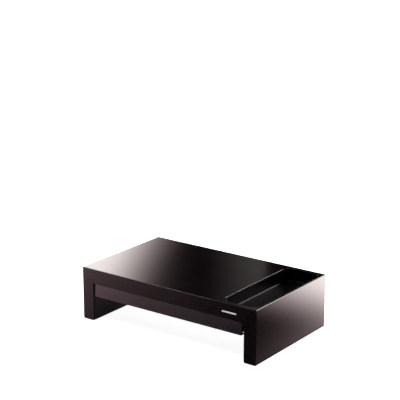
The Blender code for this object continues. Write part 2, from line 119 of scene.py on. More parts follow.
class Coat(Tree):
    """A finish: a Principled shader and the nodes that vary it over the surface."""

    def __init__(self, name, colour, roughness, **steady):
        self.finish = bpy.data.materials.new(name)
        self.finish.use_nodes = True
        super().__init__(self.finish.node_tree)
        self.surface = self.tree.nodes["Principled BSDF"]
        self.surface.inputs["Base Color"].default_value = (*colour, 1.0)
        self.surface.inputs["Roughness"].default_value = roughness
        for socket, value in steady.items():
            self.surface.inputs[socket.replace("_", " ")].default_value = value

    def feed(self, socket, wire):
        """Lets a wire vary one of the shader's sockets."""
        self.tree.links.new(wire.socket, self.surface.inputs[socket])

    def place(self, scale=(1.0, 1.0, 1.0)):
        """The point on the piece, in metres, stretched along each axis."""
        spot = self.node("ShaderNodeTexCoord", {}, {}, "Object")
        return self.node("ShaderNodeMapping", {}, {"Vector": spot, "Scale": scale}, "Vector")

    def cloud(self, size, detail=3.0, stretch=(1.0, 1.0, 1.0), rough=0.5):
        """Soft noise from 0 to 1, whose blobs are about as large as size, in metres."""
        sockets = {"Vector": self.place(stretch), "Scale": 1.0 / size, "Detail": detail, "Roughness": rough}
        return self.node("ShaderNodeTexNoise", {}, sockets)

    def step(self, wire, start, stop):
        """Eases from 0 to 1 as the wire goes from start to stop."""
        sockets = {"Value": wire, "From Min": start, "From Max": stop}
        return self.node("ShaderNodeMapRange", {"interpolation_type": "SMOOTHSTEP"}, sockets)

    def blend(self, mask, first, second):
        """One colour where the mask is 0, and another where it is 1. Either may be a wire."""
        low, high = (c if isinstance(c, Wire) else (*c, 1.0) for c in (first, second))
        return self.node("ShaderNodeMix", {"data_type": "RGBA"}, {0: mask, 6: low, 7: high}, 2)

    def relief(self, height, depth):
        """Bumps the surface by a height from 0 to 1 times depth, in metres."""
        sockets = {"Height": height, "Distance": depth, "Strength": 1.0}
        self.feed("Normal", self.node("ShaderNodeBump", {}, sockets, "Normal"))

    def scratches(self, spacing, angle):
        """Sparse hairline marks along one direction: 1 on a mark, 0 elsewhere."""
        spot = self.node("ShaderNodeTexCoord", {}, {}, "Object")
        turned = self.node("ShaderNodeMapping", {}, {"Vector": spot, "Rotation": (0.3, 0.2, angle)})
        narrow = self.node("ShaderNodeMapping", {}, {"Vector": turned, "Scale": (1.0, 36.0, 1.0)})
        sockets = {"Vector": narrow, "Scale": 1.0 / spacing, "Detail": 2.0, "Roughness": 0.6}
        return self.step(self.node("ShaderNodeTexNoise", {}, sockets), 0.6895, 0.7289)


CARD_HEIGHT = 0.0015
TINT_CURVE = 0.25
ROSE = (1.0, 0.58, 0.64)
WARM = (1.0, 0.93, 0.91)
VIOLET = (1.0, 0.69, 0.76)
BACKWARDS = (0.0, 1.0, 0.0)
WALL_ACROSS = (0.7607, 0.6491, 0.0)
WALL_BOTTOM = 0.193
WALL_TOP = 0.733
wall_middle = Vector((-0.744, 0.599, 0.0))


def card(name, corners, radiance, grades, bright_tint):
    """A light that only shows in the plastic's reflections. Its brightness is the sum of its grades. Each is
    a share, the way it grows, the distances at which it starts and stops, and a power that delays it."""
    data = bpy.data.meshes.new(name)
    data.from_pydata(corners, [], [(0, 1, 2, 3)])
    lamp = bpy.data.objects.new(name, data)
    coat = Coat(name, (0.0, 0.0, 0.0), 1.0, Specular_IOR_Level=0.0, Emission_Strength=radiance)
    level = 0.0
    for share, way, start, stop, power in grades:
        ends = {0: coat.place(), 1: way}
        reach = coat.node("ShaderNodeVectorMath", {"operation": "DOT_PRODUCT"}, ends, "Value")
        level = level + coat.step(reach, start, stop) ** power * share
    tint = coat.blend(level ** TINT_CURVE, ROSE, bright_tint)
    coat.feed("Emission Color", coat.blend(level, (0.0, 0.0, 0.0), tint))
    data.materials.append(coat.finish)
    lamp.visible_camera = False
    lamp.visible_diffuse = False
    lamp.visible_shadow = False
    bpy.context.scene.collection.objects.link(lamp)


def on_wall(left, right):
    """The corners of a rectangle on the upright plane behind the riser that its top mirrors."""
    sides = ((left, WALL_BOTTOM), (right, WALL_BOTTOM), (right, WALL_TOP), (left, WALL_TOP))
    return [wall_middle + Vector(WALL_ACROSS) * across + Vector((0.0, 0.0, z)) for across, z in sides]


def on_table(left, right, front, back):
    """The corners of a rectangle that lies on the table."""
    return [(x, y, CARD_HEIGHT) for x, y in ((left, front), (right, front), (right, back), (left, back))]


top_grade = (1.0, (-0.6846, -0.5842, -0.4300), -0.2295, 0.0205, 2.5)
card("card_top", on_wall(-0.36, 0.24), 4.8, [top_grade], WARM)
back_grade = (1.0, WALL_ACROSS, 0.07, 0.27, 1.0)
card("card_back", on_wall(0.24, 0.425), 0.26, [back_grade], WARM)
far_grade = (0.64, BACKWARDS, 0.010, 0.360, 2.0)
near_grade = (0.26, (-0.9387, 0.3447, 0.0), -0.373, -0.022, 2.6)
card("card_right", on_table(0.2060, 1.10, -0.20, 1.10), 13.2, [far_grade, near_grade], WARM)
left_grade = (1.0, (-0.9752, 0.2215, 0.0), -0.786, 0.919, 4.5)
card("card_left", on_table(-0.90, 0.05, -0.80, -0.1225), 5.2, [left_grade], VIOLET)


def soft_box(name, place, size, watts):
    """A square lamp, turned to face the riser."""
    data = bpy.data.lights.new(name, "AREA")
    data.size = size
    data.energy = watts
    lamp = bpy.data.objects.new(name, data)
    lamp.location = place
    lamp.rotation_euler = (-Vector(place)).to_track_quat("-Z", "Y").to_euler()
    lamp.visible_camera = False
    bpy.context.scene.collection.objects.link(lamp)


soft_box("soft_box_left", (-1.25, -0.70, 1.40), 0.60, 14.0)
soft_box("soft_box_back", (0.75, 1.65, 1.00), 1.10, 48.0)

CEILING = 1.6
CEILING_START = 0.74
CEILING_FULL = 0.92
sky = bpy.data.worlds.new("studio_air")
sky.use_nodes = True
air = Tree(sky.node_tree)
look = air.node("ShaderNodeTexCoord", {}, {}, "Generated")
steepness = air.node("ShaderNodeSeparateXYZ", {}, {"Vector": look}, "Z")
ramp = {"Value": steepness, "From Min": CEILING_START, "From Max": CEILING_FULL, "To Max": CEILING}
ceiling = air.node("ShaderNodeMapRange", {"interpolation_type": "SMOOTHSTEP"}, ramp)
background = sky.node_tree.nodes["Background"]
background.inputs["Color"].default_value = (1.0, 0.99, 0.98, 1.0)
sky.node_tree.links.new(ceiling.socket, background.inputs["Strength"])
bpy.context.scene.world = sky
bpy.context.scene.view_settings.view_transform = "Standard"

FLOOR_REACH = 30.0
FLOOR_DROP = 0.0003
FLOOR_GLOW = 0.92
floor_mesh = bpy.data.meshes.new("table_top")
quarters = ((-1, -1), (1, -1), (1, 1), (-1, 1))
floor_corners = [(x * FLOOR_REACH, y * FLOOR_REACH, -FLOOR_DROP) for x, y in quarters]
floor_mesh.from_pydata(floor_corners, [], [(0, 1, 2, 3)])
floor = bpy.data.objects.new("table_top", floor_mesh)
glow = {"Emission_Color": (1.0, 1.0, 1.0, 1.0), "Emission_Strength": FLOOR_GLOW}
floor_mesh.materials.append(Coat("table_white", (0.90, 0.90, 0.90), 0.9, **glow).finish)
floor.visible_glossy = False
bpy.context.scene.collection.objects.link(floor)

CAMERA_PLACE = (1.3122, -1.8102, 0.8811)
CAMERA_LENS = 110.05
camera_aim = Vector((-0.00734, 0.0, 0.24721))
camera = bpy.data.objects.new("camera", bpy.data.cameras.new("camera"))
camera.data.lens = CAMERA_LENS
camera.data.sensor_width = 36.0
camera.location = CAMERA_PLACE
camera.rotation_euler = (camera_aim - camera.location).to_track_quat("-Z", "Y").to_euler()
bpy.context.scene.collection.objects.link(camera)
bpy.context.scene.camera = camera


# ---- The outer shell
# One large injection moulding in glossy brown-black plastic: the flat top, both aprons, the end panels and
# the fronts and backs of the hollow legs. Ribs and screw posts are moulded on its underside.

FRONT_TO_BACK = 1
UPRIGHT = 2


def block(mesh, low, high):
    """Adds a box between two corners, and returns its edges."""
    size = Vector(high) - Vector(low)
    place = Matrix.Translation((Vector(high) + Vector(low)) / 2) @ Matrix.Diagonal((*size, 1.0))
    verts = bmesh.ops.create_cube(mesh, size=1.0, matrix=place)["verts"]
    return list({edge for vert in verts for edge in vert.link_edges})


def along(edges, axis):
    """Those of the edges that run along an axis."""
    return [e for e in edges if abs((e.verts[1].co - e.verts[0].co).normalized()[axis]) > 0.99]


def corners_of(mesh):
    """The edges at which the faces turn sharply."""
    return [edge for edge in mesh.edges if edge.calc_face_angle() > math.radians(60)]


def ease(mesh, edges, radius, segments):
    """Rounds edges off."""
    bmesh.ops.bevel(mesh, geom=edges, offset=radius, segments=segments, profile=0.5, affect="EDGES")


def eased_block(mesh, low, high, radius, axis=None, segments=4):
    """Adds a box whose edges, or those along one axis, are rounded."""
    edges = block(mesh, low, high)
    ease(mesh, edges if axis is None else along(edges, axis), radius, segments)


def pin(mesh, start, end, radius, sides=32):
    """Adds a round bar between two points."""
    run = Vector(end) - Vector(start)
    turn = Vector((0, 0, 1)).rotation_difference(run.normalized()).to_matrix().to_4x4()
    place = Matrix.Translation((Vector(start) + Vector(end)) / 2) @ turn
    sizes = {"segments": sides, "radius1": radius, "radius2": radius, "depth": run.length}
    bmesh.ops.create_cone(mesh, cap_ends=True, matrix=place, **sizes)


def skin(mesh, rings, closed=True):
    """Joins each ring of points to the next, and closes the first and the last."""
    for ring, after in zip(rings, rings[1:]):
        count = len(ring)
        for step in range(count):
            following = (step + 1) % count
            mesh.faces.new((ring[step], ring[following], after[following], after[step]))
    if closed:
        mesh.faces.new(list(reversed(rings[0])))
        mesh.faces.new(rings[-1])


def piece_of(name, mesh):
    """Makes an object of a bmesh whose points are already in place."""
    bmesh.ops.recalc_face_normals(mesh, faces=mesh.faces)
    data = bpy.data.meshes.new(name)
    mesh.to_mesh(data)
    mesh.free()
    piece = bpy.data.objects.new(name, data)
    bpy.context.scene.collection.objects.link(piece)
    return piece


def settle(piece):
    """Turns the piece's modifiers into plain mesh."""
    graph = bpy.context.evaluated_depsgraph_get()
    solid = bpy.data.meshes.new_from_object(piece.evaluated_get(graph))
    old = piece.data
    piece.modifiers.clear()
    piece.data = solid
    solid.name = piece.name
    bpy.data.meshes.remove(old)


def carve(piece, tool, operation="DIFFERENCE", overlapping=False):
    """Cuts a bmesh or an object from a piece, or joins it on. Parts of the tool may overlap each other."""
    if not isinstance(tool, bpy.types.Object):
        tool = piece_of("tool", tool)
    cut = piece.modifiers.new("cut", "BOOLEAN")
    cut.operation = operation
    cut.solver = "EXACT"
    cut.use_self = overlapping
    cut.object = tool
    settle(piece)
    tool_data = tool.data
    bpy.data.objects.remove(tool)
    bpy.data.meshes.remove(tool_data)


def ease_where(piece, test, radius, segments=3):
    """Rounds those sharp edges of a piece whose two ends pass a test."""
    mesh = bmesh.new()
    mesh.from_mesh(piece.data)
    bmesh.ops.dissolve_limit(mesh, angle_limit=math.radians(0.5), verts=mesh.verts, edges=mesh.edges)
    sharp = [e for e in mesh.edges if len(e.link_faces) == 2 and e.calc_face_angle() > math.radians(50)]
    ease(mesh, [e for e in sharp if test(e.verts[0].co) and test(e.verts[1].co)], radius, segments)
    mesh.to_mesh(piece.data)
    mesh.free()


def polish(piece, coat, body, nodes):
    """Gives a piece smooth shading with flat faces kept flat, its material and its body; hides its CAD parts.
    """
    piece.data.materials.clear()
    piece.data.materials.append(coat.finish)
    piece.data.shade_smooth()
    piece.data.set_sharp_from_angle(angle=math.radians(40))
    flat = piece.modifiers.new("flat_faces", "WEIGHTED_NORMAL")
    flat.keep_sharp = True
    flat.weight = 100
    settle(piece)
    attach(piece, body)
    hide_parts(*nodes)


class Pattern(Tree):
    """A Geometry Nodes tree with named inputs, which puts copies of a shape in place and makes them real."""

    def __init__(self, name, inputs):
        super().__init__(bpy.data.node_groups.new(name, "GeometryNodeTree"))
        for title, kind in inputs.items():
            self.tree.interface.new_socket(title, in_out="INPUT", socket_type=f"NodeSocket{kind}")
        self.tree.interface.new_socket("Result", in_out="OUTPUT", socket_type="NodeSocketGeometry")
        self.given = self.tree.nodes.new("NodeGroupInput")

    def input(self, title):
        """A wire from one of the tree's own inputs."""
        return Wire(self, self.given.outputs[title])

    def end_with(self, copies, coat):
        """Makes the copies real, gives them their material and hands them out."""
        real = self.node("GeometryNodeRealizeInstances", {}, {"Geometry": copies})
        painted = self.node("GeometryNodeSetMaterial", {}, {"Geometry": real, "Material": coat.finish})
        result = self.tree.nodes.new("NodeGroupOutput")
        self.tree.links.new(painted.socket, result.inputs["Result"])

    def make(self, name, points, sizes):
        """Runs the tree on an object of loose points, and gives the object with its result as plain mesh."""
        data = bpy.data.meshes.new(name)
        data.from_pydata(points, [], [])
        piece = bpy.data.objects.new(name, data)
        bpy.context.scene.collection.objects.link(piece)
        maker = piece.modifiers.new("maker", "NODES")
        maker.node_group = self.tree
        named = {s.name: s.identifier for s in self.tree.interface.items_tree if s.in_out == "INPUT"}
        for title, value in sizes.items():
            maker[named[title]] = value
        settle(piece)
        return piece


def bar_row(coat, count, first, step, size):
    """Bars of one size in a row, the first centred on a point and each a step on from the one before."""
    row = Pattern("bar_row", {"Count": "Int", "First": "Vector", "Step": "Vector", "Size": "Vector"})
    spacing = {"Start Location": row.input("First"), "Offset": row.input("Step")}
    line = row.node("GeometryNodeMeshLine", {"mode": "OFFSET"}, {"Count": row.input("Count"), **spacing})
    bar = row.node("GeometryNodeMeshCube", {}, {"Size": row.input("Size")})
    row.end_with(row.node("GeometryNodeInstanceOnPoints", {}, {"Points": line, "Instance": bar}), coat)
    return row.make("bars", [], {"Count": count, "First": first, "Step": step, "Size": size})


def gloss_coat(name, shine, colour):
    """Glossy plastic with faint flow marks, flecks, smudges and hairline marks."""
    dark, light, dot = ([part * share for part in colour] for share in (0.85, 1.15, 3.4))
    coat = Coat(name, dark, 0.20, Specular_IOR_Level=shine)
    swirl = coat.step(coat.cloud(0.085, 4.0, (1.0, 1.6, 1.0)), 0.38, 0.66)
    base = coat.blend(swirl, dark, light)
    fleck = coat.step(coat.cloud(0.0011, 1.0), 0.68, 0.80)
    coat.feed("Base Color", coat.blend(fleck * 0.30, base, dot))
    smudge = coat.step(coat.cloud(0.060, 6.0), 0.36, 0.74)
    hairline = coat.scratches(0.010, 0.35) + coat.scratches(0.013, -0.9)
    coat.feed("Roughness", 0.135 + smudge * 0.022 + hairline * 0.06)
    coat.relief(coat.cloud(0.0035, 2.0) + hairline * -0.15, 0.000010)
    return coat


gloss = gloss_coat("moulded_gloss_plastic", 0.5, (0.0041, 0.0027, 0.0030))

SHELL_ROUND = 0.0012
FOOT_ROUND = 0.0025
BAY_FOOT_ROUND = 0.0042
CORNER_STEPS = 8
SHELL_WALL = 0.0028
TOP_PLATE = 0.0030
LEG_WIDTH = 0.0265
APRON_HEIGHT = 0.0287
RIM_EASE = 0.0004
FIT_GAP = 0.0003
TOUCH = 0.0001
WELL_LEFT = 0.1210
WELL_CORNER = 0.0185

shell_low, shell_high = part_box("outer_shell")
well_low, well_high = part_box("supply_well")
panel_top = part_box("right_inner_panel")[1]
leg_face = shell_high.x - LEG_WIDTH
apron_bottom = shell_high.z - APRON_HEIGHT
roof = shell_high.z - TOP_PLATE
inner_x = shell_high.x - SHELL_WALL
inner_y = shell_high.y - SHELL_WALL

shell_mesh = bmesh.new()
edges = along(block(shell_mesh, shell_low, shell_high), FRONT_TO_BACK)
ease(shell_mesh, [e for e in edges if e.verts[0].co.z < roof], FOOT_ROUND, 6)
ease(shell_mesh, corners_of(shell_mesh), SHELL_ROUND, 5)
shell = piece_of("riser_shell", shell_mesh)

bay = bmesh.new()
past = shell_high.y + SHELL_WALL
bay_low = (-leg_face, -past, -LEG_WIDTH)
eased_block(bay, bay_low, (leg_face, past, apron_bottom), SHELL_ROUND, FRONT_TO_BACK)
carve(shell, bay)

for side in (-1, 1):
    corner = [
        (leg_face - FIT_GAP, shell_low.z + BAY_FOOT_ROUND),
        (leg_face - FIT_GAP, shell_low.z - FIT_GAP),
        (leg_face + BAY_FOOT_ROUND, shell_low.z - FIT_GAP),
    ]
    for step in range(CORNER_STEPS + 1):
        angle = math.pi / 2 * step / CORNER_STEPS
        x = leg_face + BAY_FOOT_ROUND * (1 - math.sin(angle))
        corner.append((x, shell_low.z + BAY_FOOT_ROUND * (1 - math.cos(angle))))
    foot_corner = bmesh.new()
    ends = [[foot_corner.verts.new((side * x, y, z)) for x, z in corner] for y in (-past, past)]
    skin(foot_corner, ends)
    carve(shell, foot_corner)

hollow = bmesh.new()
block(hollow, (-inner_x, -inner_y, -SHELL_WALL), (inner_x, inner_y, roof))
carve(shell, hollow)

mouth = bmesh.new()
mouth_low = (WELL_LEFT, well_low.y - FIT_GAP, well_low.z)
mouth_high = (well_high.x + FIT_GAP, well_high.y + FIT_GAP, shell_high.z + SHELL_WALL)
eased_block(mouth, mouth_low, mouth_high, WELL_CORNER, UPRIGHT, segments=16)
carve(shell, mouth)


def on_shell_rim(point):
    """On the outline of the bay at the front or back, or on the well's rim."""
    end = abs(abs(point.y) - shell_high.y) < TOUCH and abs(point.x) < leg_face + RIM_EASE
    return end and point.z < roof or abs(point.z - shell_high.z) < TOUCH


ease_where(shell, on_shell_rim, RIM_EASE)

bar_low, bar_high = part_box("name_bar")
pocket = bmesh.new()
pocket_low = (bar_low.x - FIT_GAP, shell_low.y - SHELL_WALL, bar_low.z - FIT_GAP)
block(pocket, pocket_low, (bar_high.x + FIT_GAP, bar_high.y + FIT_GAP, bar_high.z + FIT_GAP))
carve(shell, pocket)

POST_Y = 0.1115
POST_HALF = 0.0040
POST_FOOT = 0.0025
RIB_WALL = 0.0016
RIB_SINK = RIB_WALL / 2
posts = bmesh.new()
for side in (-1, 1):
    for end in (-1, 1):
        ys = sorted((end * (POST_Y - POST_HALF), end * (inner_y + RIB_SINK)))
        xs = sorted((side * (panel_top.x + FIT_GAP), side * (inner_x + RIB_SINK)))
        block(posts, (xs[0], ys[0], POST_FOOT), (xs[1], ys[1], panel_top.z))
carve(shell, posts, "UNION")

RIB_END = 0.110
RIB_DROP = 0.0070
LONG_PITCH = 0.040
LONG_RIBS = 5
CROSS_PITCH = 0.050
CROSS_RIBS = 5
FIRST_CROSS_X = -0.150
LAST_CROSS_X = 0.095
rib_top = roof + TOP_PLATE / 2
rib_height = rib_top - roof + RIB_DROP
rib_z = rib_top - rib_height / 2
long_start = -inner_x - RIB_SINK
long_size = (RIB_END - long_start, RIB_WALL, rib_height)
first_long = ((RIB_END + long_start) / 2, -LONG_PITCH * (LONG_RIBS - 1) / 2, rib_z)
carve(shell, bar_row(gloss, LONG_RIBS, first_long, (0.0, LONG_PITCH, 0.0), long_size), "UNION")
cross_size = (RIB_WALL, 2 * (inner_y + RIB_SINK), rib_height)
for count, x in ((CROSS_RIBS, FIRST_CROSS_X), (1, LAST_CROSS_X)):
    carve(shell, bar_row(gloss, count, (x, 0.0, rib_z), (CROSS_PITCH, 0.0, 0.0), cross_size), "UNION")

WELL_SCREWS_Y = (-0.070, 0.0, 0.070)
RAIL_SCREW_Z = 0.0630
BOSS_RADIUS = 0.0042
BOSS_END = 0.0960
HOLE_PAST = 0.0010
SCREW_HOLE = 0.0016
SCREW_HOLE_SIDES = 20
ear_x = (well_low.x + WELL_LEFT) / 2


def ear_screws_at(z):
    """Where the axes of the well's three screws cross a height."""
    return [(ear_x, y, z) for y in WELL_SCREWS_Y]


def rail_screws_at(x):
    """Where the axes of one rail's two screws cross a distance to its side, which has a sign."""
    return [(x, end * POST_Y, RAIL_SCREW_Z) for end in (-1, 1)]


def screw_holes(mesh, starts, ends):
    """Adds a round bar as wide as a screw hole from each start to its end."""
    for start, end in zip(starts, ends):
        pin(mesh, start, end, SCREW_HOLE, SCREW_HOLE_SIDES)


bosses = bmesh.new()
for start, end in zip(ear_screws_at(BOSS_END), ear_screws_at(rib_top)):
    pin(bosses, start, end, BOSS_RADIUS)
carve(shell, bosses, "UNION")

shell_holes = bmesh.new()
screw_holes(shell_holes, ear_screws_at(BOSS_END - HOLE_PAST), ear_screws_at(roof - RIB_WALL))
hole_end = inner_x - SHELL_WALL * 2
for side in (-1, 1):
    screw_holes(shell_holes, rail_screws_at(side * leg_face), rail_screws_at(side * hole_end))
carve(shell, shell_holes)
polish(shell, gloss, "frame", ["outer_shell"])


# ---- The supply well
# A thin-walled tub with rounded corners in the right of the top, moulded in a brown-black plastic with
# a fine satin grain. Its base colour is painted darker than the shell's, as painted shade for the shadow in
# the well. Three ears on its left side are screwed up to the shell's bosses.

WELL_WALL = 0.0017
WELL_FLOOR = 0.0820
FLOOR_FILLET = 0.0035
TUB_CORNER_STEPS = 14
TUB_LIP_STEPS = 5


def rounded_ring(mesh, low, high, corner, z):
    """A ring of points round a rectangle with round corners, anticlockwise, at a height."""
    ring = []
    centres = ((high.x, high.y), (low.x, high.y), (low.x, low.y), (high.x, low.y))
    inward = ((-1, -1), (1, -1), (1, 1), (-1, 1))
    for quarter, (spot, way) in enumerate(zip(centres, inward)):
        for step in range(TUB_CORNER_STEPS + 1):
            angle = math.pi / 2 * (quarter + step / TUB_CORNER_STEPS)
            x = spot[0] + corner * (way[0] + math.cos(angle))
            y = spot[1] + corner * (way[1] + math.sin(angle))
            ring.append(mesh.verts.new((x, y, z)))
    return ring


def tub(low, high, corner, wall, floor_z, fillet, lip):
    """A tub as one closed skin: up the outside, over a rounded lip, down the inside and into the floor."""
    profile = [(lip, low.z), (0.0, low.z + lip)]
    for step in range(TUB_LIP_STEPS + 1):
        angle = math.pi * step / TUB_LIP_STEPS
        profile.append((wall / 2 * (1 - math.cos(angle)), high.z - lip * (1 - math.sin(angle))))
    for step in range(TUB_LIP_STEPS + 1):
        angle = math.pi / 2 * step / TUB_LIP_STEPS
        profile.append((wall + fillet * (1 - math.cos(angle)), floor_z + fillet * (1 - math.sin(angle))))
    mesh = bmesh.new()
    rings = []
    for inset, z in profile:
        push = Vector((inset, inset, 0))
        rings.append(rounded_ring(mesh, low + push, high - push, max(corner - inset, lip), z))
    skin(mesh, rings)
    return mesh


well_box_low = Vector((WELL_LEFT + FIT_GAP, well_low.y, well_low.z))
well_corner = WELL_CORNER - FIT_GAP
well_mesh = tub(well_box_low, well_high, well_corner, WELL_WALL, WELL_FLOOR, FLOOR_FILLET, RIM_EASE)
well = piece_of("well_tub", well_mesh)

EAR_HALF = 0.007
EAR_TOP = 0.0957
EAR_THICK = 0.0025
GUSSET = 0.0009
ear_root = well_box_low.x + WELL_WALL / 2
ear_bottom = EAR_TOP - EAR_THICK
ears = bmesh.new()
for y in WELL_SCREWS_Y:
    block(ears, (well_low.x, y - EAR_HALF, ear_bottom), (ear_root, y + EAR_HALF, EAR_TOP))
carve(well, ears, "UNION")
gussets = bmesh.new()
for y in WELL_SCREWS_Y:
    for side in (-1, 1):
        ys = sorted((y + side * EAR_HALF, y + side * (EAR_HALF - GUSSET)))
        gusset_low = (well_box_low.x - EAR_HALF / 2, ys[0], EAR_TOP - EAR_THICK * 3)
        block(gussets, gusset_low, (ear_root, ys[1], EAR_TOP - EAR_THICK / 2))
carve(well, gussets, "UNION")
ear_holes = bmesh.new()
screw_holes(ear_holes, ear_screws_at(ear_bottom - EAR_THICK), ear_screws_at(EAR_TOP + EAR_THICK))
carve(well, ear_holes)

# Base colours at about half the shell's: painted shade for the shadow that fills the well. The dust specks
# are the plastic's own.
satin = Coat("moulded_satin_plastic", (0.0020, 0.0013, 0.0013), 0.30, Specular_IOR_Level=0.05)
grain = satin.cloud(0.0006, 2.0)
dust = satin.step(satin.cloud(0.0022, 6.0), 0.62, 0.80)
tone_and_painted_shade = satin.blend(satin.cloud(0.06, 3.0), (0.0022, 0.0013, 0.0013), (0.0036, 0.0021, 0.0021))
satin.feed("Base Color", satin.blend(dust * 0.20, tone_and_painted_shade, (0.012, 0.010, 0.009)))
satin.feed("Roughness", 0.24 + grain * 0.05 + dust * 0.10)
satin.relief(grain, 0.000004)
polish(well, satin, "frame", ["supply_well"])


# ---- The name bar
# A plain strip of silvered plastic, without lettering. It is glued into a shallow pocket at the middle of the
# front apron.

BAR_ROUND = 0.0007
BAR_EASE = 0.00012
bar_mesh = bmesh.new()
ease(bar_mesh, along(block(bar_mesh, bar_low, bar_high), FRONT_TO_BACK), BAR_ROUND, 6)
front_rim = [e for e in bar_mesh.edges if all(v.co.y < bar_low.y + BAR_EASE for v in e.verts)]
ease(bar_mesh, front_rim, BAR_EASE, 3)
bar = piece_of("silver_bar", bar_mesh)
silver = Coat("silvered_plastic", (0.74, 0.73, 0.71), 0.30, Metallic=0.25)
brush = silver.cloud(0.0005, 3.0, (0.03, 1.0, 1.0), 0.7)
silver.feed("Base Color", silver.blend(brush, (0.70, 0.69, 0.68), (0.82, 0.81, 0.80)))
silver.feed("Roughness", 0.24 + brush * 0.16)
silver.relief(brush, 0.000006)
polish(bar, silver, "frame", ["name_bar"])


# ---- The legs' inner panels
# A flat moulded panel closes each hollow leg on the bay side. It has three round holes for the height latch,
# each with a raised ring and one, two or three dots beside it, and two screw holes under the rail.

LATCH_Z = 0.0515
LATCH_STEP = 0.020
LATCH_HOLE = 0.0043
RING_WALL = 0.0012
RING_PROUD = 0.00025
DOT_RADIUS = 0.0006
LATCH_SIDES = 40
DOT_SIDES = 12
FOOT_SHARE = 0.8


def mirrored(side, low, high):
    """The corners of a right-hand box, on either side."""
    xs = sorted((side * low[0], side * high[0]))
    return (xs[0], low[1], low[2]), (xs[1], high[1], high[2])


def leg_panel(side, name):
    low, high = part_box(f"{name}_inner_panel")
    mesh = bmesh.new()
    long_edges = along(block(mesh, low, high), FRONT_TO_BACK)
    foot_edge = min(long_edges, key=lambda e: e.verts[0].co.z + abs(e.verts[0].co.x))
    ease(mesh, [foot_edge], (high.x - low.x) * FOOT_SHARE, 5)
    panel = piece_of(f"{name}_leg_panel", mesh)
    rings = bmesh.new()
    dots = bmesh.new()
    holes = bmesh.new()
    face = side * (leg_face - RING_PROUD)
    under = side * (leg_face + RING_PROUD)
    before = side * (leg_face - LATCH_HOLE)
    behind = side * (leg_face + LATCH_HOLE)
    for step in range(3):
        z = LATCH_Z - step * LATCH_STEP
        pin(rings, (face, 0, z), (under, 0, z), LATCH_HOLE + RING_WALL, LATCH_SIDES)
        pin(holes, (before, 0, z), (behind, 0, z), LATCH_HOLE, LATCH_SIDES)
        for dot in range(step + 1):
            y = -LATCH_HOLE * 2 - DOT_RADIUS * 4 * dot
            pin(dots, (face, y, z), (under, y, z), DOT_RADIUS, DOT_SIDES)
    screw_holes(holes, rail_screws_at(before), rail_screws_at(behind))
    carve(panel, rings, "UNION")
    carve(panel, dots, "UNION")
    carve(panel, holes)
    polish(panel, plain, "frame", [f"{name}_inner_panel"])


# Base colours about three times the shell's: painted light for the table's glow that these inner faces
# reflect. The flow cloud is a random tone of the plastic.
plain = Coat("moulded_plain_plastic", (0.014, 0.0105, 0.0115), 0.34)
flow = plain.cloud(0.040, 4.0, (1.0, 1.0, 2.0))
plain.feed("Base Color", plain.blend(flow, (0.012, 0.0090, 0.0100), (0.018, 0.0135, 0.0150)))
plain.feed("Roughness", 0.30 + flow * 0.10)
plain.relief(plain.cloud(0.0008, 2.0), 0.00001)
leg_panel(-1, "left")
leg_panel(1, "right")


# ---- The drawer rails
# A C-shaped nylon rail on each inner panel. The tray's flange runs in its slot, and a block under its ledge
# stops the drawer from coming right out. The mouth of the slot is flared so that the flange finds its way in.

RAIL_WEB = 0.0020
SLOT_LOW = 0.0718
SLOT_HIGH = 0.0748
LEDGE_LOW = 0.0700
FLARE = 0.0016
LOWER_FLARE = 0.6
FLARE_LENGTH = 0.0080
STOP_Y = -0.0643
STOP_LENGTH = 0.0060


def drawer_rail(side, name):
    low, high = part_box(f"{name}_drawer_rail")
    outer = max(abs(low.x), abs(high.x))
    inner = min(abs(low.x), abs(high.x))
    web = outer - RAIL_WEB
    section = ((outer, low.z), (outer, high.z), (inner, high.z), (inner, SLOT_HIGH), (web, SLOT_HIGH))
    section += ((web, SLOT_LOW), (inner, SLOT_LOW), (inner, LEDGE_LOW), (web, LEDGE_LOW), (web, low.z))
    mesh = bmesh.new()
    rings = []
    bumper_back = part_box(f"{name}_drawer_bumper")[1].y
    for y in (low.y, low.y + FLARE_LENGTH, bumper_back):
        flare = FLARE if y == low.y else 0.0
        ring = []
        for x, z in section:
            if x in (inner, web) and z == SLOT_LOW:
                z = z - flare * LOWER_FLARE
            if x in (inner, web) and z == SLOT_HIGH:
                z = z + flare
            ring.append(mesh.verts.new((side * x, y, z)))
        rings.append(ring)
    skin(mesh, rings)
    rail = piece_of(f"{name}_rail", mesh)
    blocks = bmesh.new()
    end_low = (inner, bumper_back - TOUCH, LEDGE_LOW)
    block(blocks, *mirrored(side, end_low, (outer, high.y, high.z)))
    stop_low = (inner, STOP_Y - STOP_LENGTH, low.z)
    block(blocks, *mirrored(side, stop_low, (web + RAIL_WEB / 2, STOP_Y, LEDGE_LOW + RIM_EASE)))
    foot_low = (web, bumper_back - RAIL_WEB, low.z)
    block(blocks, *mirrored(side, foot_low, (outer, high.y, LEDGE_LOW + RIM_EASE / 2)))
    carve(rail, blocks, "UNION", overlapping=True)
    holes = bmesh.new()
    before = side * (web - RAIL_WEB)
    screw_holes(holes, rail_screws_at(before), rail_screws_at(side * (outer + RAIL_WEB)))
    carve(rail, holes)
    ease_where(rail, lambda point: abs(point.x) < inner + RIM_EASE / 4, RIM_EASE / 2, 2)
    polish(rail, nylon, "frame", [f"{name}_drawer_rail"])


nylon = Coat("slick_nylon", (0.022, 0.020, 0.020), 0.40)
drag = nylon.cloud(0.0008, 3.0, (1.0, 0.05, 1.0), 0.7)
nylon.feed("Base Color", nylon.blend(drag, (0.018, 0.016, 0.016), (0.032, 0.029, 0.028)))
nylon.feed("Roughness", 0.34 + drag * 0.14)
nylon.relief(drag, 0.00001)
drawer_rail(-1, "left")
drawer_rail(1, "right")


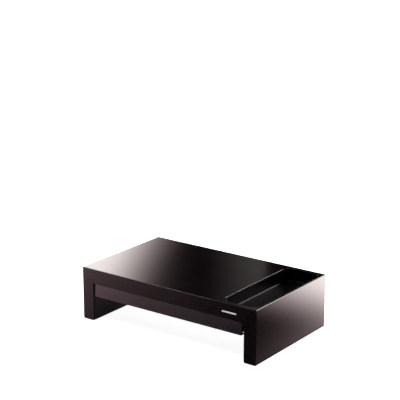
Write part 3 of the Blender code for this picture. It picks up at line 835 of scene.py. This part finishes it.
# ---- Rubber: the feet and the drawer's bumpers
# Four pads pressed into the legs' extensions, with a grip pattern on the side that meets the desk, and two
# small pads in the ends of the rails, which the closed drawer rests against.

FOOT_ROUNDING = 0.0039
GRIP_PITCH = 0.0030
GRIP_DEPTH = 0.0005
GRIP_WIDTH = 0.0010

rubber = Coat("matt_rubber", (0.014, 0.014, 0.014), 0.85)
crumb = rubber.cloud(0.0004, 3.0)
lint = rubber.step(rubber.cloud(0.0030, 5.0), 0.60, 0.78)
rubber.feed("Base Color", rubber.blend(lint * 0.5, (0.013, 0.013, 0.013), (0.050, 0.048, 0.045)))
rubber.feed("Roughness", 0.78 + crumb * 0.14)
rubber.relief(crumb, 0.00004)


def foot(name, body):
    low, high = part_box(name)
    mesh = bmesh.new()
    ease(mesh, along(block(mesh, low, high), UPRIGHT), FOOT_ROUNDING, 8)
    ease(mesh, corners_of(mesh), RIM_EASE, 2)
    pad = piece_of(f"{name}_pad", mesh)
    count = int((high.y - low.y - FOOT_ROUNDING) / GRIP_PITCH)
    first = ((low.x + high.x) / 2, (low.y + high.y) / 2 - GRIP_PITCH * (count - 1) / 2, low.z)
    size = (high.x - low.x + GRIP_WIDTH * 2, GRIP_WIDTH, GRIP_DEPTH * 2)
    carve(pad, bar_row(rubber, count, first, (0.0, GRIP_PITCH, 0.0), size))
    polish(pad, rubber, body, [name])


for name in ("left", "right"):
    for end in ("front", "back"):
        foot(f"{name}_{end}_foot", f"{name}_leg")
    bumper_low, bumper_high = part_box(f"{name}_drawer_bumper")
    bumper_mesh = bmesh.new()
    eased_block(bumper_mesh, bumper_low, bumper_high, RIM_EASE * 2)
    polish(piece_of(f"{name}_bumper", bumper_mesh), rubber, "frame", [f"{name}_drawer_bumper"])


# ---- The drawer tray
# A shallow open tray in grained black plastic. Its side flanges run in the rails, a lug under each flange
# meets the rail's stop, and low ribs on its floor keep sheets of paper flat and easy to pick up.

TRAY_WALL = 0.0020
TRAY_HALF_WIDTH = 0.1685
TRAY_CORNER = 0.0012
TRAY_FILLET = 0.0025
FLANGE_LOW = 0.0721
LUG_LOW = 0.0660
LUG_HIGH = 0.0695
LUG_FRONT = 0.0960
LUG_BACK = 0.1020
LUG_REACH = 0.1728
FLOOR_RIB = 0.0012
FLOOR_RIB_HEIGHT = 0.0006
FLOOR_RIBS = 7
FLOOR_RIB_PITCH = 0.044
FRONT_SCREWS_X = (-0.135, -0.045, 0.045, 0.135)
FRONT_SCREW_Z = 0.0640

matte = Coat("moulded_matte_plastic", (0.016, 0.0145, 0.0145), 0.55)
pebble = matte.node("ShaderNodeTexVoronoi", {}, {"Vector": matte.place(), "Scale": 1500.0})
scuff = matte.step(matte.cloud(0.030, 6.0, (1.0, 0.25, 1.0)), 0.52, 0.74)
matte.feed("Base Color", matte.blend(scuff * 0.6, (0.0145, 0.0130, 0.0130), (0.030, 0.0275, 0.0270)))
matte.feed("Roughness", 0.50 + pebble * 0.14 - scuff * 0.10)
matte.relief(pebble, 0.00004)

tray_low, tray_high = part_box("drawer_tray")
tray_box_low = Vector((-TRAY_HALF_WIDTH, tray_low.y, tray_low.z))
tray_box_high = Vector((TRAY_HALF_WIDTH, tray_high.y, tray_high.z))
floor_top = tray_low.z + TRAY_WALL
tray_mesh = tub(tray_box_low, tray_box_high, TRAY_CORNER, TRAY_WALL, floor_top, TRAY_FILLET, RIM_EASE)
tray = piece_of("paper_tray", tray_mesh)

flanges = bmesh.new()
lugs = bmesh.new()
for side in (-1, 1):
    root = TRAY_HALF_WIDTH - TRAY_WALL / 2
    near = (root, tray_low.y + TRAY_CORNER, FLANGE_LOW)
    far = (tray_high.x, tray_high.y - TRAY_CORNER, tray_high.z - RIM_EASE)
    eased_block(flanges, *mirrored(side, near, far), RIM_EASE, segments=2)
    lug_corners = mirrored(side, (root, LUG_FRONT, LUG_LOW), (LUG_REACH, LUG_BACK, LUG_HIGH))
    eased_block(lugs, *lug_corners, RIM_EASE, segments=2)
carve(tray, flanges, "UNION")
carve(tray, lugs, "UNION")

rib_reach = tray_high.y - TRAY_WALL - TRAY_FILLET * 3
rib_size = (FLOOR_RIB, 2 * rib_reach + TRAY_FILLET, TRAY_WALL / 2 + FLOOR_RIB_HEIGHT)
first_rib_x = -FLOOR_RIB_PITCH * (FLOOR_RIBS - 1) / 2
first_rib = (first_rib_x, -TRAY_FILLET / 2, floor_top + FLOOR_RIB_HEIGHT - rib_size[2] / 2)
carve(tray, bar_row(matte, FLOOR_RIBS, first_rib, (FLOOR_RIB_PITCH, 0.0, 0.0), rib_size), "UNION")


def front_screws_at(y):
    """Where the axes of the drawer front's four screws cross a depth."""
    return [(x, y, FRONT_SCREW_Z) for x in FRONT_SCREWS_X]


tray_holes = bmesh.new()
hole_starts = front_screws_at(tray_low.y - TRAY_WALL)
screw_holes(tray_holes, hole_starts, front_screws_at(tray_low.y + TRAY_WALL * 2))
carve(tray, tray_holes)
polish(tray, matte, "drawer", ["drawer_tray"])


# ---- The drawer front
# A glossy moulded bar, level with the apron and leaning back a little, with rounded edges. A ledge along its
# lower edge is the finger pull: fingertips hook it from below, in the scoop at its middle.

FRONT_THICK = 0.0030
FRONT_LEAN = 0.0008
FRONT_ROUND = 0.0007
PULL_DEPTH = 0.0100
SCOOP_WIDTH = 0.0900
SCOOP_HALF = 0.0050
SCOOP_BEHIND = 0.0020
SCOOP_DROP = 0.0225
SCOOP_CORNER = 0.0040

front_low, front_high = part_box("drawer_front")
face_y = -cad_high.y
section = (
    (face_y, front_low.z),
    (face_y + FRONT_LEAN, front_high.z),
    (face_y + FRONT_THICK, front_high.z),
    (face_y + FRONT_THICK, tray_low.z - FIT_GAP),
    (face_y + PULL_DEPTH, tray_low.z - FIT_GAP),
    (face_y + PULL_DEPTH, front_low.z),
)
front_mesh = bmesh.new()
ends = [[front_mesh.verts.new((x, y, z)) for y, z in section] for x in (front_low.x, front_high.x)]
skin(front_mesh, ends)
ease(front_mesh, corners_of(front_mesh), FRONT_ROUND, 4)
front = piece_of("drawer_face", front_mesh)

scoop = bmesh.new()
scoop_y = face_y + PULL_DEPTH + SCOOP_BEHIND
scoop_low = (-SCOOP_WIDTH / 2, scoop_y - SCOOP_HALF, front_low.z - SCOOP_HALF)
scoop_high = (SCOOP_WIDTH / 2, scoop_y + SCOOP_HALF, front_high.z - SCOOP_DROP)
eased_block(scoop, scoop_low, scoop_high, SCOOP_CORNER, UPRIGHT, segments=10)
carve(front, scoop)
front_holes = bmesh.new()
hole_starts = front_screws_at(face_y + FRONT_THICK + TRAY_WALL)
screw_holes(front_holes, hole_starts, front_screws_at(face_y + FRONT_LEAN + RIM_EASE))
carve(front, front_holes)
# Base colour about four times the shell's: painted light for the brighter face, over a violet-grey tone of
# its own.
front_gloss_painted_light = gloss_coat("moulded_front_plastic", 1.0, (0.0165, 0.0120, 0.0150))
polish(front, front_gloss_painted_light, "drawer", ["drawer_front"])


# ---- The screws
# Zinc-plated pan-head screws with a cross recess: three up through the well's ears, four through the rails
# into the shell's posts, and four from inside the tray into the drawer front. A node tree places each set.

HEAD_RADIUS = 0.0030
WELL_SCREW_LENGTH = 0.0080
RAIL_SCREW_LENGTH = 0.0120
FRONT_SCREW_LENGTH = 0.0038
SEED = 7
HEAD_HEIGHT = 0.60
HEAD_EDGE = 0.45
SHAFT_RADIUS = 0.40
THREAD_PITCH = 0.20
THREAD_ROOT = 0.82
THREAD_START = 0.25
THREAD_RISE = 0.40
DOME_STEPS = 6
SCREW_SIDES = 20
SLOT_HALF = 0.16
SLOT_REACH = 0.62
SLOT_START = 1.5
SLOT_END = 0.4


def pan_head_screw(length):
    """One screw along +Z, in head radii, with its head's underside at the origin: turned, then cross-cut."""
    outline = [(0.0, -HEAD_HEIGHT)]
    for step in range(1, DOME_STEPS + 1):
        angle = math.pi / 2 * step / DOME_STEPS
        rise = HEAD_EDGE + (1 - HEAD_EDGE) * math.cos(angle)
        outline.append((math.sin(angle), -HEAD_HEIGHT * rise))
    outline += [(1.0, 0.0), (SHAFT_RADIUS, 0.0)]
    turns = int((length - 2 * SHAFT_RADIUS) / THREAD_PITCH)
    for turn in range(turns):
        z = THREAD_PITCH * (turn + THREAD_START)
        outline += [(SHAFT_RADIUS * THREAD_ROOT, z), (SHAFT_RADIUS, z + THREAD_PITCH * THREAD_RISE)]
    outline += [(SHAFT_RADIUS * THREAD_ROOT, length - SHAFT_RADIUS), (0.0, length)]
    angles = [math.tau * step / SCREW_SIDES for step in range(SCREW_SIDES)]
    mesh = bmesh.new()
    rings = []
    for radius, z in outline[1:-1]:
        rings.append([mesh.verts.new((radius * math.cos(a), radius * math.sin(a), z)) for a in angles])
    skin(mesh, rings, closed=False)
    for ring, (_, z) in ((rings[0], outline[0]), (rings[-1], outline[-1])):
        tip = mesh.verts.new((0, 0, z))
        for step in range(SCREW_SIDES):
            mesh.faces.new((ring[step], ring[(step + 1) % SCREW_SIDES], tip))
    screw = piece_of("screw_pattern", mesh)
    for half_x, half_y in ((SLOT_REACH, SLOT_HALF), (SLOT_HALF, SLOT_REACH)):
        slot = bmesh.new()
        slot_high = (half_x, half_y, -HEAD_HEIGHT * SLOT_END)
        block(slot, (-half_x, -half_y, -HEAD_HEIGHT * SLOT_START), slot_high)
        carve(screw, slot)
    return screw


def screw_set(name, body, nodes, points, way, length):
    """The screws at a list of points, driven one way and each stopped at its own turn of the head."""
    shapes = {"Points": "Geometry", "Screw": "Object"}
    tree = Pattern("screw_set", {**shapes, "Head Radius": "Float", "Tilt": "Vector", "Turn": "Float"})
    shape = tree.node("GeometryNodeObjectInfo", {}, {"Object": tree.input("Screw")}, "Geometry")
    placing = {"Points": tree.input("Points"), "Instance": shape, "Rotation": tree.input("Tilt")}
    placing["Scale"] = tree.input("Head Radius")
    stood = tree.node("GeometryNodeInstanceOnPoints", {}, placing)
    number = tree.node("GeometryNodeInputIndex", {}, {}) + SEED
    chance = tree.node("ShaderNodeTexWhiteNoise", {"noise_dimensions": "1D"}, {"W": number}, "Value")
    twist = tree.node("ShaderNodeCombineXYZ", {}, {"Z": chance * tree.input("Turn")})
    turned = tree.node("GeometryNodeRotateInstances", {}, {"Instances": stood, "Rotation": twist})
    tree.end_with(turned, zinc)
    pattern = pan_head_screw(length / HEAD_RADIUS)
    tilt = Vector((0, 0, 1)).rotation_difference(Vector(way)).to_euler()[:]
    sizes = {"Screw": pattern, "Head Radius": HEAD_RADIUS, "Tilt": tilt, "Turn": math.pi / 2}
    screws = tree.make(name, points, sizes)
    bpy.data.objects.remove(pattern)
    polish(screws, zinc, body, nodes)


zinc = Coat("zinc_plated_steel", (0.58, 0.58, 0.56), 0.30, Metallic=1.0)
plating = zinc.cloud(0.0012, 4.0)
zinc.feed("Base Color", zinc.blend(plating, (0.50, 0.50, 0.48), (0.66, 0.65, 0.60)))
zinc.feed("Roughness", 0.24 + plating * 0.20)
zinc.relief(plating, 0.00001)

well_points = ear_screws_at(ear_bottom - FIT_GAP)
well_nodes = [f"well_screw_{place}" for place in ("front", "middle", "back")]
screw_set("well_ear_screws", "frame", well_nodes, well_points, (0, 0, 1), WELL_SCREW_LENGTH)
for side, name in ((-1, "left"), (1, "right")):
    rail_points = rail_screws_at(side * (leg_face - FIT_GAP - RAIL_WEB - FIT_GAP))
    rail_nodes = [f"{name}_rail_screw_{place}" for place in ("front", "back")]
    way = (side, 0, 0)
    screw_set(f"{name}_rail_fixings", "frame", rail_nodes, rail_points, way, RAIL_SCREW_LENGTH)
front_points = front_screws_at(tray_low.y + TRAY_WALL + FIT_GAP)
front_nodes = [f"drawer_front_screw_{number}" for number in range(1, len(FRONT_SCREWS_X) + 1)]
screw_set("drawer_front_fixings", "drawer", front_nodes, front_points, (0, -1, 0), FRONT_SCREW_LENGTH)


# ---- The legs' extensions
# An open moulded box slides in each hollow leg. Two webs stiffen it, its floor has seats for the feet, and
# engraved lines on its ends show the three heights.

EXT_WALL = 0.0022
EXT_FLOOR = 0.0046
EXT_WEBS = (-0.055, 0.055)
LINE_DEPTH = 0.0004


def leg_extension(side, name):
    low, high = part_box(f"{name}_leg_extension")
    inner = min(abs(low.x), abs(high.x))
    outer = max(abs(low.x), abs(high.x))
    mesh = bmesh.new()
    eased_block(mesh, low, high, SHELL_ROUND, UPRIGHT, segments=5)
    extension = piece_of(f"{name}_extension", mesh)
    rooms = bmesh.new()
    stations = (low.y + EXT_WALL / 2, *EXT_WEBS, high.y - EXT_WALL / 2)
    for start, stop in zip(stations, stations[1:]):
        near = (inner + EXT_WALL, start + EXT_WALL / 2, EXT_FLOOR)
        far = (outer - EXT_WALL, stop - EXT_WALL / 2, high.z + EXT_WALL)
        eased_block(rooms, *mirrored(side, near, far), SHELL_ROUND, UPRIGHT, segments=3)
    carve(extension, rooms)
    seats = bmesh.new()
    for end in ("front", "back"):
        foot_low, foot_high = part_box(f"{name}_{end}_foot")
        gap = Vector((FIT_GAP, FIT_GAP, FIT_GAP))
        eased_block(seats, foot_low - gap * 3, foot_high + gap, FOOT_ROUNDING, UPRIGHT, segments=6)
    carve(extension, seats)
    hole = bmesh.new()
    hole_end = (side * (inner + EXT_WALL * 2), 0, LATCH_Z)
    pin(hole, (side * leg_face, 0, LATCH_Z), hole_end, LATCH_HOLE, LATCH_SIDES)
    carve(extension, hole)
    lines = bmesh.new()
    for end in (low.y, high.y):
        for step in range(3):
            z = LATCH_Z - LATCH_STEP * step - LATCH_STEP / 2
            near = (inner + EXT_WALL, end - LINE_DEPTH, z)
            block(lines, *mirrored(side, near, (outer - EXT_WALL, end + LINE_DEPTH, z + LINE_DEPTH)))
    carve(extension, lines)
    polish(extension, matte, f"{name}_leg", [f"{name}_leg_extension"])


leg_extension(-1, "left")
leg_extension(1, "right")


# ---- The height latches
# A strip of spring steel bent into a narrow U inside the extension, with a domed button that snaps through
# the extension's wall into one of the panel's three holes.

LEAF_THICK = 0.0008
LEAF_HALF_WIDTH = 0.0050
LEAF_STEPS = 10
LEAF_LEAN = 0.0004
BEND_INSET = 0.0022
BUTTON_RADIUS = 0.0040
BUTTON_DOME = 0.0012
BUTTON_STEPS = 8
BUTTON_SIDES = 32


def height_latch(side, name):
    low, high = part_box(f"{name}_height_latch")
    tip = min(abs(low.x), abs(high.x))
    outer = max(abs(low.x), abs(high.x))
    ext_low, ext_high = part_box(f"{name}_leg_extension")
    inner = min(abs(ext_low.x), abs(ext_high.x)) + EXT_WALL + FIT_GAP
    bend = (outer - inner) / 2 - BEND_INSET
    middle_x = (inner + outer) / 2
    path = [(inner, high.z), (inner + LEAF_LEAN, LATCH_Z - BUTTON_RADIUS)]
    for step in range(LEAF_STEPS + 1):
        angle = math.pi * step / LEAF_STEPS
        x = middle_x - bend * math.cos(angle)
        path.append((x, low.z + bend - bend * math.sin(angle)))
    path.append((outer - LEAF_THICK, high.z - BUTTON_RADIUS))
    mesh = bmesh.new()
    rings = []
    for index, (x, z) in enumerate(path):
        before = path[max(index - 1, 0)]
        after = path[min(index + 1, len(path) - 1)]
        run = Vector((after[0] - before[0], after[1] - before[1])).normalized()
        across = Vector((-run.y, run.x)) * LEAF_THICK
        ring = []
        for shift, y in ((0, -1), (0, 1), (1, 1), (1, -1)):
            place = (side * (x + across.x * shift), y * LEAF_HALF_WIDTH, z + across.y * shift)
            ring.append(mesh.verts.new(place))
        rings.append(ring)
    skin(mesh, rings)
    latch = piece_of(f"{name}_latch", mesh)
    button = bmesh.new()
    rings = []
    outline = [(BUTTON_RADIUS, inner + LEAF_THICK / 2), (BUTTON_RADIUS, tip + BUTTON_DOME)]
    for step in range(1, BUTTON_STEPS):
        angle = math.pi / 2 * step / BUTTON_STEPS
        outline.append((BUTTON_RADIUS * math.cos(angle), tip + BUTTON_DOME * (1 - math.sin(angle))))
    angles = [math.tau * step / BUTTON_SIDES for step in range(BUTTON_SIDES)]
    for radius, x in outline:
        circle = [(radius * math.cos(a), LATCH_Z + radius * math.sin(a)) for a in angles]
        rings.append([button.verts.new((side * x, y, z)) for y, z in circle])
    skin(button, rings)
    carve(latch, button, "UNION")
    polish(latch, spring_steel, f"{name}_leg", [f"{name}_height_latch"])


spring_steel = Coat("spring_steel", (0.44, 0.44, 0.45), 0.28, Metallic=1.0)
rolled = spring_steel.cloud(0.0008, 3.0, (1.0, 1.0, 0.08), 0.7)
spring_steel.feed("Base Color", spring_steel.blend(rolled, (0.38, 0.38, 0.39), (0.52, 0.51, 0.50)))
spring_steel.feed("Roughness", 0.22 + rolled * 0.18)
spring_steel.relief(rolled, 0.000006)
height_latch(-1, "left")
height_latch(1, "right")
